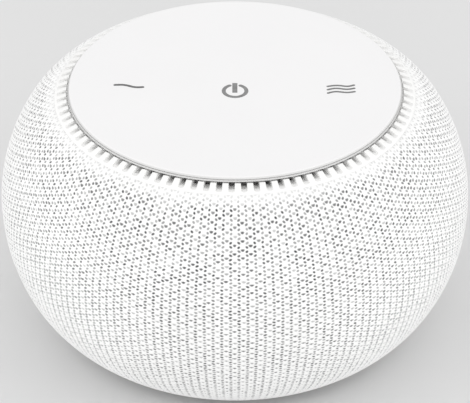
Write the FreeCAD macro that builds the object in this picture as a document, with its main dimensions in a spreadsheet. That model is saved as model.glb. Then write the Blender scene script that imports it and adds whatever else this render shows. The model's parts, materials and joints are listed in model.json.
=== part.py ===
import FreeCAD, Part
import Sketcher
import math
import os

# White noise sound machine: a squat fabric-covered drum with a fan inside.
# A fixed core (base, sound drum, fan motor, touch top) carries a turning outer
# shell (vent ring, two moulded halves, fabric, shutter) and a spinning impeller.
# Millimetres, +Z up, origin at the middle of the footprint, front towards -Y,
# power inlet towards +Y.

V = FreeCAD.Vector
doc = FreeCAD.newDocument("sound_machine")
sheet = doc.addObject("Spreadsheet::Sheet", "Dims")


class Q:
    """A number together with the expression that gives it from the sheet."""

    def __init__(self, value, text):
        self.v = float(value)
        self.e = text

    @staticmethod
    def of(x):
        return x if isinstance(x, Q) else Q(x, repr(float(x)))

    def __add__(self, o):
        o = Q.of(o)
        return Q(self.v + o.v, f"({self.e} + {o.e})")

    __radd__ = __add__

    def __sub__(self, o):
        o = Q.of(o)
        return Q(self.v - o.v, f"({self.e} - {o.e})")

    def __rsub__(self, o):
        return Q.of(o) - self

    def __mul__(self, o):
        o = Q.of(o)
        return Q(self.v * o.v, f"({self.e} * {o.e})")

    __rmul__ = __mul__

    def __truediv__(self, o):
        o = Q.of(o)
        return Q(self.v / o.v, f"({self.e} / {o.e})")

    def __neg__(self):
        return Q(-self.v, f"(-1 * {self.e})")


def cosd(q):
    q = Q.of(q)
    return Q(math.cos(math.radians(q.v)), f"cos({q.e} * 1 deg)")


def sind(q):
    q = Q.of(q)
    return Q(math.sin(math.radians(q.v)), f"sin({q.e} * 1 deg)")


CELLS = [
    # outer barrel profile: two tangent arcs above and two below the widest level
    ("eq_rad", 71.1), ("eq_lev", 42.8),
    ("up_one", 50.3), ("up_one_deg", 31.3), ("up_two", 25.3), ("up_two_deg", 61.7),
    ("lo_one", 55.5), ("lo_one_deg", 24.7), ("lo_two", 42.2), ("lo_two_deg", 53.0),
    ("cloth", 0.8), ("shell_in", 2.8),
    # base
    ("foot_in", 38.5), ("foot_out", 45.0), ("foot_top", 2.6),
    ("base_rad", 46.0), ("base_top", 5.2),
    ("tun_in", 6.2), ("tun_out", 7.7), ("tun_start", 18.0), ("tun_back", 16.4),
    ("tun_roof", 12.6), ("tun_top", 14.2), ("foot_gap", 6.6),
    ("slot_in", 20.0), ("slot_out", 34.0), ("slot_w", 2.4),
    ("post_at", 30.0), ("post_rad", 3.2), ("post_top", 16.2), ("post_hole", 1.3),
    ("off_rad", 2.2), ("off_top", 8.2), ("off_hole", 0.9),
    # main board, front right of the middle
    ("mb_left", -9.0), ("mb_right", 25.0), ("mb_front", -33.0), ("mb_back", -9.0),
    ("mb_top", 9.8), ("mb_inset", 3.0),
    # power inlet, pointing down into the recess
    ("jack_at", 25.0), ("jack_hw", 4.6), ("jack_top", 25.6),
    ("nose_rad", 4.0), ("jack_bore", 2.75), ("jack_pin", 1.05), ("bore_deep", 10.0),
    ("pin_tip", 13.2),
    # sound drum
    ("drum_in", 45.2), ("drum_out", 47.0), ("drum_top", 70.0),
    ("win_a", 0.9), ("win_b", 11.6), ("win_lo", 22.0), ("win_hi", 56.0),
    ("boss_at", 41.9), ("boss_rad", 3.4), ("boss_hi", 58.0), ("boss_lo", 17.0),
    ("scr_rad", 1.4), ("head_rad", 2.8),
    ("ledge_out", 53.6), ("ledge_lo", 17.0), ("ledge_hi", 18.6),
    ("glide_in", 47.2), ("glide_out", 49.8), ("glide_hi", 19.95),
    ("stop_at", 51.7), ("stop_rad", 1.5), ("stop_hi", 23.4),
    # top frame and touch top
    ("frame_hi", 72.0), ("rim_in", 35.0), ("rim_out", 39.0), ("tray_lo", 76.0),
    ("tray_floor", 77.4), ("neck_rad", 46.4), ("wall_in", 44.6),
    ("lip_rad", 50.1), ("lip_lo", 79.95), ("lip_hi", 80.46),
    ("disc_rad", 49.83), ("disc_lo", 80.58), ("disc_hi", 81.3), ("disc_edge", 0.65),
    ("disc_step", 44.3), ("disc_under", 79.4), ("tb_rad", 44.0), ("tb_top", 79.0),
    ("pad_rad", 6.5), ("pad_side", 29.0), ("pad_front", 3.0),
    # vent ring
    ("vr_in", 47.0), ("vr_step", 50.45), ("vr_flat", 79.3), ("vr_crest", 79.86),
    ("vr_out", 53.96), ("vr_edge", 78.25), ("vr_lo", 75.4), ("vr_arc", 16.0),
    ("rib_cut", 0.88), ("floor_in", 48.4), ("floor_lo", 77.75), ("floor_mid", 51.0),
    ("floor_rise", 78.05), ("cut_out", 53.3), ("cut_edge", 78.5),
    # turning shell
    ("top_fl_in", 49.6), ("top_fl_lo", 73.8), ("bot_fl_in", 48.9), ("bot_fl_hi", 5.8),
    ("hem_in", 48.9), ("hem_out", 51.9), ("hem_lo", 3.4),
    ("join_at", 65.2), ("join_rad", 3.2), ("join_lo", 36.0), ("join_hi", 50.0),
    ("lug_at", 60.0), ("lug_rad", 3.0), ("lug_hi", 28.0),
    ("shell_slot", 1.6), ("ss_lo", 24.0), ("ss_hi", 35.0), ("su_lo", 50.6), ("su_hi", 62.0),
    ("shut_in", 47.4), ("shut_out", 48.8), ("shut_lo", 20.0), ("shut_floor", 21.6),
    ("shut_hi", 66.0), ("shut_rim", 61.6), ("arc_half", 1.9),
    # fan motor
    ("arm_hw", 4.6), ("br_lo", 18.2), ("br_hi", 19.8), ("br_rad", 19.0), ("grom_rad", 4.2),
    ("grom_waist", 2.7), ("grom_hi", 21.3), ("mf_rad", 14.0), ("mf_hi", 21.8),
    ("tube_out", 4.4), ("tube_in", 3.0), ("tube_hi", 37.0), ("shaft_rad", 1.5),
    ("run_gap", 0.03), ("mscr_at", 10.5), ("mscr_rad", 1.0),
    ("st_hub", 6.6), ("st_out", 11.5), ("st_lo", 25.0), ("st_hi", 33.0), ("tooth", 1.2),
    ("shoe_in", 10.4), ("shoe_hw", 4.2), ("coil_hw", 2.6), ("coil_lo", 23.9), ("coil_hi", 34.1),
    ("can_in", 14.5), ("can_out", 15.5), ("can_lo", 23.6), ("can_roof", 37.6), ("can_hi", 39.0),
    ("mag_in", 12.1), ("imp_plate", 40.4), ("imp_rad", 36.0), ("hub_rad", 7.0), ("hub_hi", 45.0),
    ("blade_in", 20.0), ("blade_hi", 54.0), ("ring_in", 28.0), ("ring_hi", 55.2), ("blade_t", 1.1),
    ("shaft_hi", 46.0), ("shaft_lo", 20.3), ("clip_lo", 20.8), ("clip_hi", 21.2), ("clip_rad", 2.6),
    ("groove_rad", 1.15),
]
D = {}
for row, (name, value) in enumerate(CELLS, 1):
    sheet.set(f"A{row}", name)
    sheet.set(f"B{row}", repr(float(value)))
    sheet.setAlias(f"B{row}", name)
    D[name] = Q(value, f"Dims.{name}")
doc.recompute()


class Dims:
    def __getattr__(self, name):
        return D[name]


d = Dims()
NODES = []


def node(obj, label):
    obj.Label = label
    NODES.append((label, obj))
    return obj


# ---------------------------------------------------------------- sketch helpers
def plane_of(body, role):
    return [f for f in body.Origin.OriginFeatures if f.Role == role][0]


def new_sketch(body, plane="XZ_Plane", lift=None, turn=0.0):
    sk = body.newObject("Sketcher::SketchObject", "Sketch")
    sk.AttachmentSupport = [(plane_of(body, plane), "")]
    sk.MapMode = "FlatFace"
    if turn:
        sk.AttachmentOffset = FreeCAD.Placement(V(0, 0, 0), FreeCAD.Rotation(V(0, 0, 1), turn))
    if lift is not None:
        lift = Q.of(lift)
        sk.AttachmentOffset.Base = V(0, 0, lift.v)
        sk.setExpression("AttachmentOffset.Base.z", lift.e)
    return sk


def pin_point(sk, geo, pos, x, y):
    """Holds one point of a sketch at (x, y), each a sheet expression."""
    for axis, kind, q in ((-2, "DistanceX", Q.of(x)), (-1, "DistanceY", Q.of(y))):
        if abs(q.v) < 1e-9:
            sk.addConstraint(Sketcher.Constraint("PointOnObject", geo, pos, axis))
        else:
            i = sk.addConstraint(Sketcher.Constraint(kind, geo, pos, q.v))
            sk.setExpression(f"Constraints[{i}]", q.e)


def loop(sk, points):
    """A closed outline. Each item is (x, y), or (x, y, radius, side) where the
    edge that leaves this point is an arc: side 1 turns left, -1 turns right."""
    n = len(points)
    edges = []
    for i, p in enumerate(points):
        a, b = p, points[(i + 1) % n]
        ax, ay, bx, by = Q.of(a[0]).v, Q.of(a[1]).v, Q.of(b[0]).v, Q.of(b[1]).v
        if len(p) == 2:
            g = sk.addGeometry(Part.LineSegment(V(ax, ay, 0), V(bx, by, 0)), False)
            edges.append((g, 1, 2, None))
            continue
        rad, side = Q.of(p[2]), p[3]
        dx, dy = bx - ax, by - ay
        half = math.hypot(dx, dy) / 2
        rise = math.sqrt(max(rad.v ** 2 - half ** 2, 0.0))
        cx = (ax + bx) / 2 - side * rise * dy / (2 * half)
        cy = (ay + by) / 2 + side * rise * dx / (2 * half)
        s, e = ((ax, ay), (bx, by)) if side > 0 else ((bx, by), (ax, ay))
        t0 = math.atan2(s[1] - cy, s[0] - cx)
        t1 = math.atan2(e[1] - cy, e[0] - cx)
        while t1 <= t0:
            t1 += 2 * math.pi
        circle = Part.Circle(V(cx, cy, 0), V(0, 0, 1), rad.v)
        g = sk.addGeometry(Part.ArcOfCircle(circle, t0, t1), False)
        edges.append((g, 1, 2, rad) if side > 0 else (g, 2, 1, rad))
    for i in range(n):
        g, s, e, rad = edges[i]
        g2, s2, e2, rad2 = edges[(i + 1) % n]
        sk.addConstraint(Sketcher.Constraint("Coincident", g, e, g2, s2))
    for i in range(n):
        g, s, e, rad = edges[i]
        pin_point(sk, g, s, points[i][0], points[i][1])
        if rad is not None:
            k = sk.addConstraint(Sketcher.Constraint("Radius", g, rad.v))
            sk.setExpression(f"Constraints[{k}]", rad.e)


def circle(sk, x, y, rad):
    rad = Q.of(rad)
    g = sk.addGeometry(Part.Circle(V(Q.of(x).v, Q.of(y).v, 0), V(0, 0, 1), rad.v), False)
    pin_point(sk, g, 3, x, y)
    k = sk.addConstraint(Sketcher.Constraint("Radius", g, rad.v))
    sk.setExpression(f"Constraints[{k}]", rad.e)


def rect(sk, x0, y0, x1, y1):
    loop(sk, [(x0, y0), (x1, y0), (x1, y1), (x0, y1)])


def body_of(label):
    body = doc.addObject("PartDesign::Body", label)
    return node(body, label)


def revolve(body, points, cut=False, full=360.0):
    sk = new_sketch(body)
    loop(sk, points)
    f = body.newObject("PartDesign::Groove" if cut else "PartDesign::Revolution", "Turned")
    f.Profile = sk
    f.ReferenceAxis = (sk, ["V_Axis"])
    f.Angle = full
    sk.Visibility = False
    return f


def tube(body, r0, r1, z0, z1):
    return revolve(body, [(r0, z0), (r1, z0), (r1, z1), (r0, z1)])


def pad(body, sk, height, back=False):
    f = body.newObject("PartDesign::Pad", "Pad")
    f.Profile = sk
    height = Q.of(height)
    f.Length = height.v
    f.setExpression("Length", height.e)
    f.Reversed = back
    return f


def pocket(body, sk, depth, back=False, both=False):
    f = body.newObject("PartDesign::Pocket", "Pocket")
    f.Profile = sk
    depth = Q.of(depth)
    f.Type = 0
    f.Length = depth.v
    f.setExpression("Length", depth.e)
    f.Reversed = back
    if both:
        f.SideType = "Symmetric"
    return f


def pattern(body, features, count, angle=360.0):
    p = body.newObject("PartDesign::PolarPattern", "Pattern")
    p.Originals = features
    p.Axis = (plane_of(body, "Z_Axis"), [""])
    p.Angle = angle
    p.Occurrences = count
    body.Tip = p
    return p


def turn(body, degrees):
    body.Placement = FreeCAD.Placement(V(0, 0, 0), FreeCAD.Rotation(V(0, 0, 1), degrees))


def screws(label, at, count, first, shank, head, z_head, z_shoulder, z_tip, angle=360.0):
    """Separate identical screws on a circle, heads from z_head to z_shoulder."""
    body = body_of(label)
    at, shank, head = Q.of(at), Q.of(shank), Q.of(head)
    z_head, z_shoulder, z_tip = Q.of(z_head), Q.of(z_shoulder), Q.of(z_tip)
    sk = new_sketch(body)
    g = sk.addGeometry(Part.LineSegment(V(at.v, -5, 0), V(at.v, 5, 0)), True)
    pin_point(sk, g, 1, at, -5)
    pin_point(sk, g, 2, at, 5)
    loop(sk, [(at, z_head), (at, z_tip), (at + shank, z_tip), (at + shank, z_shoulder),
              (at + head, z_shoulder), (at + head, z_head)])
    f = body.newObject("PartDesign::Revolution", "Screw")
    f.Profile = sk
    f.ReferenceAxis = (sk, ["Axis0"])
    f.Angle = 360.0
    up = z_head.v > z_shoulder.v
    sk2 = new_sketch(body, "XY_Plane", lift=z_head)
    k = head * 0.42
    loop(sk2, [(at + k * cosd(60 * i), k * sind(60 * i)) for i in range(6)])
    deep = (z_head - z_shoulder) * 0.55 if up else (z_shoulder - z_head) * 0.55
    p = pocket(body, sk2, deep, back=not up)
    pattern(body, [f, p], count, angle)
    turn(body, first)
    return body


# ------------------------------------------------------------- barrel profile
def upper(angle_one, angle_two, off):
    """Points of the upper curve at a given depth below the outer face."""
    c1x, c1y = d.eq_rad - d.up_one, d.eq_lev
    e1 = (c1x + (d.up_one - off) * cosd(angle_one), c1y + (d.up_one - off) * sind(angle_one))
    c2x = c1x + (d.up_one - d.up_two) * cosd(angle_one)
    c2y = c1y + (d.up_one - d.up_two) * sind(angle_one)
    e2 = (c2x + (d.up_two - off) * cosd(angle_two), c2y + (d.up_two - off) * sind(angle_two))
    return e1, e2


def lower(angle_one, angle_two, off):
    c1x, c1y = d.eq_rad - d.lo_one, d.eq_lev
    e1 = (c1x + (d.lo_one - off) * cosd(angle_one), c1y - (d.lo_one - off) * sind(angle_one))
    c2x = c1x + (d.lo_one - d.lo_two) * cosd(angle_one)
    c2y = c1y - (d.lo_one - d.lo_two) * sind(angle_one)
    e2 = (c2x + (d.lo_two - off) * cosd(angle_two), c2y - (d.lo_two - off) * sind(angle_two))
    return e1, e2


# ======================================================================= CORE
# --- base plate: flat floor with air slots, posts, a tunnel for the power plug
b = body_of("base_plate")
sk = new_sketch(b, "XY_Plane", lift=d.foot_top)
circle(sk, 0, 0, d.base_rad)
pad(b, sk, d.base_top - d.foot_top)
sk = new_sketch(b, "XY_Plane", lift=d.base_top + 1.0, turn=117.0)
rect(sk, d.slot_in, -d.slot_w / 2, d.slot_out, d.slot_w / 2)
pk = pocket(b, sk, 12.0)
pattern(b, [pk], 35, 306.0)
sk = new_sketch(b, "XY_Plane", lift=d.base_top)
for k in range(3):
    circle(sk, d.post_at * cosd(120 * k), d.post_at * sind(120 * k) if k else 0, d.post_rad)
pad(b, sk, d.post_top - d.base_top)
sk = new_sketch(b, "XY_Plane", lift=d.base_top)
for x in (d.mb_left + d.mb_inset, d.mb_right - d.mb_inset):
    for y in (d.mb_front + d.mb_inset, d.mb_back - d.mb_inset):
        circle(sk, x, y, d.off_rad)
pad(b, sk, d.off_top - d.base_top)
# recess for an angled plug and its lead, open below and at the rim
sk = new_sketch(b, "XY_Plane", lift=d.foot_top)
end = Q(math.sqrt(d.base_rad.v ** 2 - d.tun_out.v ** 2), "sqrt(Dims.base_rad * Dims.base_rad - Dims.tun_out * Dims.tun_out)")
loop(sk, [(-d.tun_out, d.tun_back), (d.tun_out, d.tun_back), (d.tun_out, end, d.base_rad, 1), (-d.tun_out, end)])
pad(b, sk, d.tun_top - d.foot_top)
sk = new_sketch(b, "XY_Plane", lift=d.tun_roof)
rect(sk, -d.tun_in, d.tun_start, d.tun_in, 50.0)
pocket(b, sk, 20.0)
# hole in the recess roof for the round nose of the inlet
sk = new_sketch(b, "XY_Plane", lift=d.tun_top + 1.0)
circle(sk, 0, d.jack_at, d.nose_rad)
pocket(b, sk, 4.0)
# screw holes: posts, board stand-offs, rim screws with sunk heads
sk = new_sketch(b, "XY_Plane", lift=30.0)
for k in range(3):
    circle(sk, d.post_at * cosd(120 * k), d.post_at * sind(120 * k) if k else 0, d.post_hole)
pocket(b, sk, 30.0 - 8.0)
sk = new_sketch(b, "XY_Plane", lift=30.0)
for x in (d.mb_left + d.mb_inset, d.mb_right - d.mb_inset):
    for y in (d.mb_front + d.mb_inset, d.mb_back - d.mb_inset):
        circle(sk, x, y, d.off_hole)
pocket(b, sk, 30.0 - 4.6)
sk = new_sketch(b, "XY_Plane", lift=0.0)
for k in range(4):
    circle(sk, d.boss_at * cosd(45 + 90 * k), d.boss_at * sind(45 + 90 * k), d.scr_rad)
pocket(b, sk, 12.0, back=True)
sk = new_sketch(b, "XY_Plane", lift=0.0)
for k in range(4):
    circle(sk, d.boss_at * cosd(45 + 90 * k), d.boss_at * sind(45 + 90 * k), d.head_rad)
pocket(b, sk, 4.2, back=True)

# --- rubber foot: a ring with a gap in line with the plug tunnel
b = body_of("foot_ring")
tube(b, d.foot_in, d.foot_out, 0, d.foot_top)
sk = new_sketch(b, "XY_Plane", lift=5.0)
rect(sk, -d.foot_gap, 20.0, d.foot_gap, 50.0)
pocket(b, sk, 8.0)

screws("base_screws", d.boss_at, 4, 45, d.scr_rad, d.head_rad, d.foot_top, 4.2, 14.0)

# --- power inlet: moulded housing with a round nose, a bore and a centre pin,
# all pointing down into the recess
b = body_of("inlet_housing")
sk = new_sketch(b, "XY_Plane", lift=d.tun_top)
rect(sk, -d.jack_hw, d.jack_at - d.jack_hw, d.jack_hw, d.jack_at + d.jack_hw)
pad(b, sk, d.jack_top - d.tun_top)
sk = new_sketch(b, "XY_Plane", lift=d.tun_roof)
circle(sk, 0, d.jack_at, d.nose_rad)
pad(b, sk, d.tun_top - d.tun_roof)
sk = new_sketch(b, "XY_Plane", lift=d.tun_roof + d.bore_deep)
circle(sk, 0, d.jack_at, d.jack_bore)
pocket(b, sk, d.bore_deep + 1.0)
b = body_of("inlet_pin")
sk = new_sketch(b, "XY_Plane", lift=d.pin_tip)
circle(sk, 0, d.jack_at, d.jack_pin)
pad(b, sk, d.tun_roof + d.bore_deep - d.pin_tip)

# --- main board with its parts
b = body_of("main_board")
sk = new_sketch(b, "XY_Plane", lift=d.off_top)
rect(sk, d.mb_left, d.mb_front, d.mb_right, d.mb_back)
for x in (d.mb_left + d.mb_inset, d.mb_right - d.mb_inset):
    for y in (d.mb_front + d.mb_inset, d.mb_back - d.mb_inset):
        circle(sk, x, y, d.off_hole)
pad(b, sk, d.mb_top - d.off_top)
b = body_of("board_parts")
sk = new_sketch(b, "XY_Plane", lift=d.mb_top)
rect(sk, 2.0, -25.0, 9.0, -18.0)
rect(sk, 13.0, -15.5, 17.0, -10.5)
circle(sk, 15.5, -22.0, 3.0)
rect(sk, -4.0, -32.4, 4.0, -28.4)
pad(b, sk, 3.0)
sk = new_sketch(b, "XY_Plane", lift=d.mb_top)
circle(sk, -3.0, -20.0, 2.5)
pad(b, sk, 6.0)
b = body_of("board_screws")
sk = new_sketch(b, "XY_Plane", lift=d.mb_top)
for x in (d.mb_left + d.mb_inset, d.mb_right - d.mb_inset):
    for y in (d.mb_front + d.mb_inset, d.mb_back - d.mb_inset):
        circle(sk, x, y, 1.7)
pad(b, sk, 1.4)
sk = new_sketch(b, "XY_Plane", lift=d.mb_top)
for x in (d.mb_left + d.mb_inset, d.mb_right - d.mb_inset):
    for y in (d.mb_front + d.mb_inset, d.mb_back - d.mb_inset):
        circle(sk, x, y, d.off_hole)
pad(b, sk, d.mb_top - 4.8, back=True)

# --- sound drum: fixed inner wall with windows, ledge for the turning shell
b = body_of("sound_drum")
revolve(b, [(d.drum_in, d.base_top), (d.drum_out, d.base_top), (d.drum_out, d.ledge_lo),
            (d.ledge_out, d.ledge_lo), (d.ledge_out, d.ledge_hi), (d.drum_out, d.ledge_hi),
            (d.drum_out, d.drum_top), (d.drum_in, d.drum_top)])
for z0, z1 in ((d.base_top, d.boss_lo), (d.boss_hi, d.drum_top)):
    sk = new_sketch(b, "XY_Plane", lift=z0)
    for k in range(4):
        circle(sk, d.boss_at * cosd(45 + 90 * k), d.boss_at * sind(45 + 90 * k), d.boss_rad)
    pad(b, sk, z1 - z0)
sk = new_sketch(b, "XY_Plane", lift=80.0)
for k in range(4):
    circle(sk, d.boss_at * cosd(45 + 90 * k), d.boss_at * sind(45 + 90 * k), d.scr_rad)
pocket(b, sk, 80.0 - d.base_top + 1.0)
sk = new_sketch(b, "XY_Plane", lift=d.tun_top + 0.2)
rect(sk, -d.tun_out - 0.2, 38.0, d.tun_out + 0.2, 49.0)
pocket(b, sk, 14.0)
sk = new_sketch(b, "XY_Plane", lift=30.0)
circle(sk, 0, -d.stop_at, d.stop_rad)
pocket(b, sk, 20.0)
sk = new_sketch(b, "YZ_Plane")
rect(sk, d.win_a, d.win_lo, d.win_b, d.win_hi)
rect(sk, -d.win_b, d.win_lo, -d.win_a, d.win_hi)
pk = pocket(b, sk, 60.0)
pattern(b, [pk], 6)

b = body_of("glide_ring")
tube(b, d.glide_in, d.glide_out, d.ledge_hi, d.glide_hi)

# --- stop pin: pressed into the ledge, runs in an arc slot of the shutter floor
b = body_of("stop_pin")
sk = new_sketch(b, "XY_Plane", lift=d.ledge_lo)
circle(sk, 0, -d.stop_at, d.stop_rad)
pad(b, sk, d.stop_hi - d.ledge_lo)

# --- top frame closes the drum and carries the touch tray
b = body_of("top_frame")
revolve(b, [(12.0, d.drum_top), (d.drum_out, d.drum_top), (d.drum_out, d.frame_hi),
            (d.rim_out, d.frame_hi), (d.rim_out, d.tray_lo), (d.rim_in, d.tray_lo),
            (d.rim_in, d.frame_hi), (12.0, d.frame_hi)])
sk = new_sketch(b, "XY_Plane", lift=80.0)
for k in range(4):
    circle(sk, d.boss_at * cosd(45 + 90 * k), d.boss_at * sind(45 + 90 * k), d.scr_rad)
pocket(b, sk, 12.0)
sk = new_sketch(b, "XY_Plane", lift=90.0)
rect(sk, -5.0, -44.0, 5.0, -39.2)
pocket(b, sk, 25.0)
sk = new_sketch(b, "XY_Plane", lift=90.0)
rect(sk, -5.0, -43.0, 5.0, -30.0)
pocket(b, sk, 90.0 - d.frame_hi)
sk = new_sketch(b, "XY_Plane", lift=90.0)
for k in range(3):
    circle(sk, 37.0 * cosd(90 + 120 * k) if k else 0, 37.0 * sind(90 + 120 * k), 0.7)
pocket(b, sk, 18.0)
# radial air slots in the frame floor
sk = new_sketch(b, "XY_Plane", lift=80.0)
rect(sk, 17.0, -2.0, 32.0, 2.0)
pk = pocket(b, sk, 12.0)
pattern(b, [pk], 12)
screws("frame_screws", d.boss_at, 4, 45, d.scr_rad, d.head_rad, d.frame_hi + 1.8, d.frame_hi, 60.0)

# --- touch tray: shallow tray whose thin lip shows as a bright line under the top
b = body_of("touch_tray")
revolve(b, [(0, d.tray_lo), (d.neck_rad, d.tray_lo), (d.neck_rad, d.lip_lo), (d.lip_rad, d.lip_lo),
            (d.lip_rad, d.lip_hi), (d.wall_in, d.lip_hi), (d.wall_in, d.tray_floor), (0, d.tray_floor)])
sk = new_sketch(b, "XY_Plane", lift=90.0)
rect(sk, -5.0, -35.6, 5.0, -31.0)
pocket(b, sk, 20.0)
sk = new_sketch(b, "XY_Plane", lift=90.0)
for k in range(3):
    circle(sk, 37.0 * cosd(90 + 120 * k) if k else 0, 37.0 * sind(90 + 120 * k), 1.1)
pocket(b, sk, 20.0)
sk = new_sketch(b, "XY_Plane", lift=90.0)
for k in range(3):
    circle(sk, 37.0 * cosd(90 + 120 * k) if k else 0, 37.0 * sind(90 + 120 * k), 2.1)
pocket(b, sk, 90.0 - 76.7)
# --- three screws hold the tray to the frame's raised rim
b = body_of("tray_screws")
sk = new_sketch(b, "XY_Plane", lift=76.7)
for k in range(3):
    circle(sk, 37.0 * cosd(90 + 120 * k) if k else 0, 37.0 * sind(90 + 120 * k), 2.0)
pad(b, sk, 0.65)
sk = new_sketch(b, "XY_Plane", lift=76.7)
for k in range(3):
    circle(sk, 37.0 * cosd(90 + 120 * k) if k else 0, 37.0 * sind(90 + 120 * k), 0.7)
pad(b, sk, 4.5, back=True)

b = body_of("touch_board")
sk = new_sketch(b, "XY_Plane", lift=d.tray_floor)
circle(sk, 0, 0, d.tb_rad)
pad(b, sk, d.tb_top - d.tray_floor)
b = body_of("sensor_pads")
sk = new_sketch(b, "XY_Plane", lift=d.tb_top)
circle(sk, 0, -d.pad_front, d.pad_rad)
circle(sk, -d.pad_side, -d.pad_front, d.pad_rad)
circle(sk, d.pad_side, -d.pad_front, d.pad_rad)
pad(b, sk, d.disc_under - d.tb_top)
# foam ring that glues the top into the tray
b = body_of("foam_gasket")
tube(b, 38.0, 43.6, d.tb_top, d.disc_under)

# --- touch top: one smooth disc with a rounded edge, stepped underneath
b = body_of("touch_top")
revolve(b, [(0, d.disc_under), (d.disc_step, d.disc_under), (d.disc_step, d.disc_lo), (d.disc_rad, d.disc_lo),
            (d.disc_rad, d.disc_hi - d.disc_edge, d.disc_edge, 1),
            (d.disc_rad - d.disc_edge, d.disc_hi), (0, d.disc_hi)])

# --- flat lead from the main board up the drum wall to the touch board
b = body_of("flat_lead")
sk = new_sketch(b, "YZ_Plane")
loop(sk, [(-30.4, 12.8), (-30.4, 14.2), (-40.6, 14.2), (-40.6, 73.6), (-34.4, 73.6), (-34.4, 77.4),
          (-33.2, 77.4), (-33.2, 72.4), (-39.4, 72.4), (-39.4, 15.4), (-29.2, 15.4), (-29.2, 12.8)][::-1])
f = pad(b, sk, 7.0)
f.SideType = "Symmetric"

# ---------------------------------------------------------------- fan motor
b = body_of("motor_bracket")
sk = new_sketch(b, "XY_Plane", lift=d.br_lo)
circle(sk, 0, 0, d.br_rad)
pad(b, sk, d.br_hi - d.br_lo)
sk = new_sketch(b, "XY_Plane", lift=d.br_lo)
rect(sk, 10.0, -d.arm_hw, d.post_at + 4.6, d.arm_hw)
f = pad(b, sk, d.br_hi - d.br_lo)
sk = new_sketch(b, "XY_Plane", lift=d.br_hi + 1.0)
circle(sk, d.post_at, 0, d.grom_waist)
circle(sk, d.mscr_at, 0, d.mscr_rad)
pk = pocket(b, sk, 5.0)
pattern(b, [f, pk], 3)
sk = new_sketch(b, "XY_Plane", lift=d.br_hi + 1.0)
circle(sk, 0, 0, 4.0)
pocket(b, sk, 5.0)

b = body_of("motor_grommets")
sk = new_sketch(b)
g = sk.addGeometry(Part.LineSegment(V(d.post_at.v, -5, 0), V(d.post_at.v, 5, 0)), True)
pin_point(sk, g, 1, d.post_at, -5)
pin_point(sk, g, 2, d.post_at, 5)
loop(sk, [(d.post_at + d.post_hole, d.post_top), (d.post_at + d.grom_rad, d.post_top),
          (d.post_at + d.grom_rad, d.br_lo), (d.post_at + d.grom_waist, d.br_lo),
          (d.post_at + d.grom_waist, d.br_hi), (d.post_at + d.grom_rad, d.br_hi),
          (d.post_at + d.grom_rad, d.grom_hi), (d.post_at + d.post_hole, d.grom_hi)])
f = b.newObject("PartDesign::Revolution", "Grommet")
f.Profile = sk
f.ReferenceAxis = (sk, ["Axis0"])
f.Angle = 360.0
pattern(b, [f], 3)
screws("bracket_screws", d.post_at, 3, 0, d.post_hole, 3.2, d.grom_hi + 1.8, d.grom_hi, 9.0)
screws("motor_screws", d.mscr_at, 3, 0, d.mscr_rad, 1.9, d.br_lo - 1.2, d.br_lo, 21.4)

b = body_of("motor_base")
revolve(b, [(d.tube_in, d.br_hi), (d.mf_rad, d.br_hi), (d.mf_rad, d.mf_hi), (d.tube_out, d.mf_hi),
            (d.tube_out, d.tube_hi), (d.tube_in, d.tube_hi)])
sk = new_sketch(b, "XY_Plane", lift=0.0)
for k in range(3):
    circle(sk, d.mscr_at * cosd(120 * k), d.mscr_at * sind(120 * k) if k else 0, d.mscr_rad)
pocket(b, sk, 21.4, back=True)
b = body_of("motor_board")
tube(b, d.tube_out + 0.2, 13.2, d.mf_hi, d.mf_hi + 1.0)

b = body_of("shaft_bushes")
sk = new_sketch(b)
loop(sk, [(d.shaft_rad + d.run_gap, 21.6), (d.tube_in, 21.6), (d.tube_in, 25.1), (d.shaft_rad + d.run_gap, 25.1)])
loop(sk, [(d.shaft_rad + d.run_gap, 33.4), (d.tube_in, 33.4), (d.tube_in, 36.9), (d.shaft_rad + d.run_gap, 36.9)])
f = b.newObject("PartDesign::Revolution", "Bushes")
f.Profile = sk
f.ReferenceAxis = (sk, ["V_Axis"])
f.Angle = 360.0

b = body_of("stator_core")
sk = new_sketch(b, "XY_Plane", lift=d.st_lo)
circle(sk, 0, 0, d.st_hub)
circle(sk, 0, 0, d.tube_out)
pad(b, sk, d.st_hi - d.st_lo)
sk = new_sketch(b, "XY_Plane", lift=d.st_lo)
rect(sk, d.st_hub - 0.8, -d.tooth, d.shoe_in + 0.3, d.tooth)
f = pad(b, sk, d.st_hi - d.st_lo)
sk = new_sketch(b, "XY_Plane", lift=d.st_lo)
sx = Q(math.sqrt(11.5 ** 2 - 4.2 ** 2), "sqrt(Dims.st_out * Dims.st_out - Dims.shoe_hw * Dims.shoe_hw)")
tx = Q(math.sqrt(10.4 ** 2 - 3.8 ** 2), "sqrt(Dims.shoe_in * Dims.shoe_in - 3.8 * 3.8)")
loop(sk, [(tx, -3.8), (sx, -d.shoe_hw, d.st_out, 1), (sx, d.shoe_hw), (tx, 3.8, d.shoe_in, -1)])
g = pad(b, sk, d.st_hi - d.st_lo)
pattern(b, [f, g], 6)
b = body_of("stator_windings")
sk = new_sketch(b, "XY_Plane", lift=d.coil_lo)
rect(sk, 7.1, -d.coil_hw, 9.5, d.coil_hw)
f = pad(b, sk, d.coil_hi - d.coil_lo)
sk = new_sketch(b, "YZ_Plane")
rect(sk, -d.tooth, d.st_lo, d.tooth, d.st_hi)
pk = pocket(b, sk, 12.0, back=True)
pattern(b, [f, pk], 6)

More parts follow.
